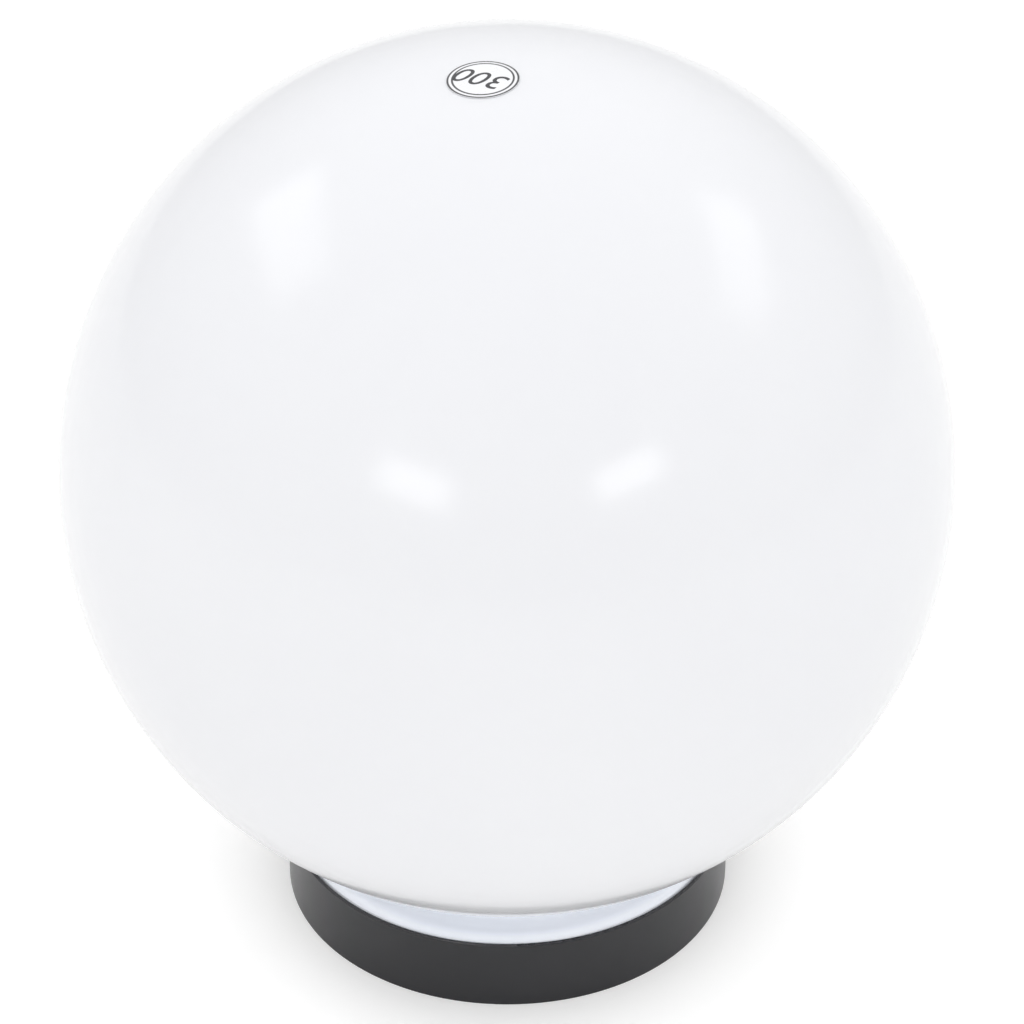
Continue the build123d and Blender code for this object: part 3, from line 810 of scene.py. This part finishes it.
def growPiece(name, points, stages):
    # Runs geometry trees on a profile, then keeps the result as a plain mesh with only its corners sharp.
    profile = profileMesh(points)
    piece = bpy.data.objects.new(name, profile)
    scene.collection.objects.link(piece)
    for tree, values in stages:
        modifier = piece.modifiers.new(tree.name, "NODES")
        modifier.node_group = tree
        for socket in tree.interface.items_tree:
            if socket.in_out == "INPUT" and socket.name != "Geometry":
                modifier[socket.identifier] = values[socket.name]
    data = bpy.data.meshes.new_from_object(piece.evaluated_get(bpy.context.evaluated_depsgraph_get()))
    data.name = name
    finish = data.materials[-1]
    data.materials.clear()
    data.materials.append(finish)
    piece.modifiers.clear()
    piece.data = data
    bpy.data.meshes.remove(profile)
    mesh = bmesh.new()
    mesh.from_mesh(data)
    bmesh.ops.recalc_face_normals(mesh, faces=mesh.faces[:])
    for face in mesh.faces:
        face.smooth = True
        face.material_index = 0
    limit = math.radians(globeShape["sharpAngle"])
    for edge in mesh.edges:
        edge.smooth = len(edge.link_faces) != 2 or edge.calc_face_angle() <= limit
    mesh.to_mesh(data)
    mesh.free()
    return piece


def turnedStage(finish):
    values = {"Segments": globeShape["segments"], "Merge distance": globeShape["mergeDistance"]}
    return turning, {**values, "Material": finishes[finish]}


def smoothBall():
    radius = reach()
    inner = ballRadius - globeShape["wall"]
    neckAngle = 180 - math.degrees(math.asin(globeShape["neckRadius"] / radius))
    mouthAngle = 180 - math.degrees(math.asin(globeShape["mouthRadius"] / inner))
    arcStart = 180 - math.degrees(math.acos(globeShape["neckRadius"] / radius))
    edge = creasePoint(180)
    profile = ballArc(radius, 0, neckAngle, globeShape["ballSteps"])
    profile += arc(arcStart, 180, globeShape["arcSteps"], creasePoint)[1:]
    profile += [(globeShape["mouthRadius"], edge[1])]
    profile += ballArc(inner, mouthAngle, 0, globeShape["innerSteps"])
    piece = growPiece("smooth_ball", profile, [turnedStage("opal_plastic")])
    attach(piece, "globe")
    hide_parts("globe_shell")


collarShape = {
    "gutter": (0.0695, -0.0011),  # here and below: radius, and height from the crease's lowest point
    "roll": (0.0753, -0.00025),
    "rim": (0.0779, -0.0019),
    "underside": 0.0229,
    "chamfer": 0.0006,
    "skirtOuter": 0.076,
    "skirtInner": 0.0735,
    "skirtBottom": 0.010,
    "mouthBevel": 0.0015,
    "curveSteps": 14,
    "lugRoot": 0.0005,
    "lugs": {
        "Count": 3,
        "First angle": math.radians(90),
        "Span": math.radians(14),
        "Rows": 11,
        "Outer radius": 0.0783,
        "Low": 0.012,
        "High": 0.0165,
    },
}


def smoothCollar():
    shape = collarShape
    low = creasePoint(270)
    edge = creasePoint(180)
    mouth = globeShape["mouthRadius"]
    knots = [low] + [(shape[name][0], low[1] + shape[name][1]) for name in ("gutter", "roll", "rim")]
    rim = shape["rim"][0]
    base = shape["underside"]
    profile = arc(180, 270, globeShape["arcSteps"], creasePoint)
    profile += throughPoints(knots, (1, 0), (0, -1), shape["curveSteps"])[1:]
    profile += [
        (rim, base + shape["chamfer"]),
        (rim - shape["chamfer"], base),
        (shape["skirtOuter"], base),
        (shape["skirtOuter"], shape["skirtBottom"]),
        (shape["skirtInner"], shape["skirtBottom"]),
        (shape["skirtInner"], base),
        (mouth + shape["mouthBevel"], base),
        (mouth, base + shape["mouthBevel"]),
        (mouth, edge[1]),
    ]
    profile.append(profile[0])
    lugs = {**shape["lugs"], "Inner radius": shape["skirtOuter"] - shape["lugRoot"]}
    lugs["Material"] = finishes["collar_plastic"]
    piece = growPiece("smooth_collar", profile, [turnedStage("collar_plastic"), (lugRing, lugs)])
    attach(piece, "globe")
    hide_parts("globe_collar")


smoothBall()
smoothCollar()
print("ball and collar turned")


# The size number printed on the label

def labelNumber():
    curve = bpy.data.curves.new("number", "FONT")
    curve.body = labelPrint["number"]
    curve.size = labelPrint["fontSize"]
    curve.shear = labelPrint["slant"]
    curve.align_x = "CENTER"
    curve.align_y = "CENTER"
    curve.resolution_u = labelPrint["curveSteps"]
    flat = bpy.data.objects.new("number", curve)
    scene.collection.objects.link(flat)
    mesh = bpy.data.meshes.new_from_object(flat.evaluated_get(bpy.context.evaluated_depsgraph_get()))
    bpy.data.objects.remove(flat)
    outward = (labelCentre() - ballCentre).normalized()
    right = Vector((1, 0, 0))
    right = (right - right.dot(outward) * outward).normalized()
    up = outward.cross(right)
    turn = Matrix.Rotation(math.radians(labelPrint["turn"]), 3, "Z")
    lift = ballRadius + labelPrint["inkLift"]
    for vertex in mesh.vertices:
        spot = turn @ vertex.co
        direction = (outward * ballRadius + right * spot.x + up * spot.y).normalized()
        vertex.co = ballCentre + direction * lift
    piece = bpy.data.objects.new("label_number", mesh)
    scene.collection.objects.link(piece)
    mesh.materials.clear()
    mesh.materials.append(grainedMaterial("inkPrint", labelPrint["ink"])[0])
    thicken = piece.modifiers.new("film", "SOLIDIFY")
    thicken.thickness = labelPrint["inkThickness"]
    thicken.offset = 0.0
    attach(piece, "globe")


labelNumber()
print("label printed")


# Floor, world and lamps

studio = {
    "floorSize": 12.0,
    "floorColour": (0.980, 0.977, 0.966),
    "floorPlain": {"Roughness": 0.9, "Specular IOR Level": 0.1},
    "paperScale": 40.0,
    "paperShade": 0.995,
    "floorLift": 0.14,
    "worldLight": 0.648,
    "zenithLight": 0.47,
    "zenithRange": (0.1, 0.8),
    "edgeFade": 0.22,
    "middleGain": 1.6,
    "upperLeft": {"power": 1.95, "size": (1.10, 0.50), "heading": -109.3, "rise": 44.9,
                 "roll": 14.4, "distance": 1.6},
    "upperRight": {"power": 1.68, "size": (0.44, 1.02), "heading": 103.9, "rise": 41.8,
                  "roll": -80.7, "distance": 1.6},
    "lowerLeft": {"power": 1.60, "size": (0.63, 0.28), "heading": -23.7, "rise": 24.9,
                 "roll": -10.3, "distance": 1.6},
    "lowerRight": {"power": 1.35, "size": (0.59, 0.25), "heading": 31.2, "rise": 25.4,
                  "roll": 9.4, "distance": 1.6},
}


def addFloor():
    half = studio["floorSize"] / 2
    mesh = bpy.data.meshes.new("floor")
    corners = [(-half, -half, 0), (half, -half, 0), (half, half, 0), (-half, half, 0)]
    mesh.from_pydata(corners, [], [(0, 1, 2, 3)])
    floor = bpy.data.objects.new("floor", mesh)
    scene.collection.objects.link(floor)
    material, tree, shader = startMaterial("floorPaper", studio["floorPlain"])
    paper = addNode(tree, "ShaderNodeTexNoise")
    paper.inputs["Scale"].default_value = studio["paperScale"]
    tree.links.new(objectPoint(tree), paper.inputs["Vector"])
    high = studio["floorColour"]
    low = darker(high, studio["paperShade"])
    tree.links.new(mixColour(tree, paper.outputs["Fac"], low, high), shader.inputs["Base Color"])
    seen = addNode(tree, "ShaderNodeLightPath")
    direct = math2(tree, "MAXIMUM", seen.outputs["Is Camera Ray"], seen.outputs["Is Transmission Ray"])
    shader.inputs["Emission Color"].default_value = (1, 1, 1, 1)
    tree.links.new(math2(tree, "MULTIPLY", direct, studio["floorLift"]), shader.inputs["Emission Strength"])
    mesh.materials.append(material)


def addWorld():
    world = bpy.data.worlds.new("studio")
    scene.world = world
    world.use_nodes = True
    tree = world.node_tree
    background = tree.nodes["Background"]
    background.inputs["Color"].default_value = (1, 1, 1, 1)
    # A broad ceiling light: brighter overhead, and plain white where the camera looks straight at it.
    height = addNode(tree, "ShaderNodeSeparateXYZ")
    tree.links.new(addNode(tree, "ShaderNodeTexCoord").outputs["Generated"], height.inputs[0])
    ceiling = remap(tree, height.outputs["Z"], *studio["zenithRange"], 0.0, studio["zenithLight"])
    light = math2(tree, "ADD", ceiling, studio["worldLight"])
    seen = addNode(tree, "ShaderNodeLightPath")
    direct = math2(tree, "MAXIMUM", seen.outputs["Is Camera Ray"], seen.outputs["Is Transmission Ray"])
    tree.links.new(math2(tree, "MAXIMUM", direct, light), background.inputs["Strength"])


def fadeEdges(lamp):
    # A softbox is brightest at its middle and fades towards its edges.
    lamp.use_nodes = True
    tree = lamp.node_tree
    emission = tree.nodes["Emission"]
    place = addNode(tree, "ShaderNodeSeparateXYZ")
    tree.links.new(addNode(tree, "ShaderNodeNewGeometry").outputs["Parametric"], place.inputs[0])
    strength = None
    for axis in ("X", "Y"):
        off = math2(tree, "ABSOLUTE", math2(tree, "SUBTRACT", place.outputs[axis], 0.5))
        inset = math2(tree, "SUBTRACT", 0.5, off)
        fade = remap(tree, inset, 0.0, studio["edgeFade"])
        strength = fade if strength is None else math2(tree, "MULTIPLY", strength, fade)
    tree.links.new(math2(tree, "MULTIPLY", strength, studio["middleGain"]), emission.inputs["Strength"])


def addLamp(name):
    values = studio[name]
    lamp = bpy.data.lights.new(name, "AREA")
    lamp.shape = "RECTANGLE"
    lamp.size, lamp.size_y = values["size"]
    lamp.energy = values["power"]
    fadeEdges(lamp)
    holder = bpy.data.objects.new(name, lamp)
    scene.collection.objects.link(holder)
    heading = math.radians(values["heading"])
    rise = math.radians(values["rise"])
    level = math.cos(rise)
    toward = Vector((math.sin(heading) * level, -math.cos(heading) * level, math.sin(rise)))
    holder.location = ballCentre + values["distance"] * toward
    facing = toward.to_track_quat("Z", "Y")
    holder.rotation_euler = (facing @ Quaternion((0, 0, 1), math.radians(values["roll"]))).to_euler()
    holder.visible_camera = False


addFloor()
addWorld()
for lampName in ("upperLeft", "upperRight", "lowerLeft", "lowerRight"):
    addLamp(lampName)
scene.view_settings.view_transform = "Standard"
print("studio lit")
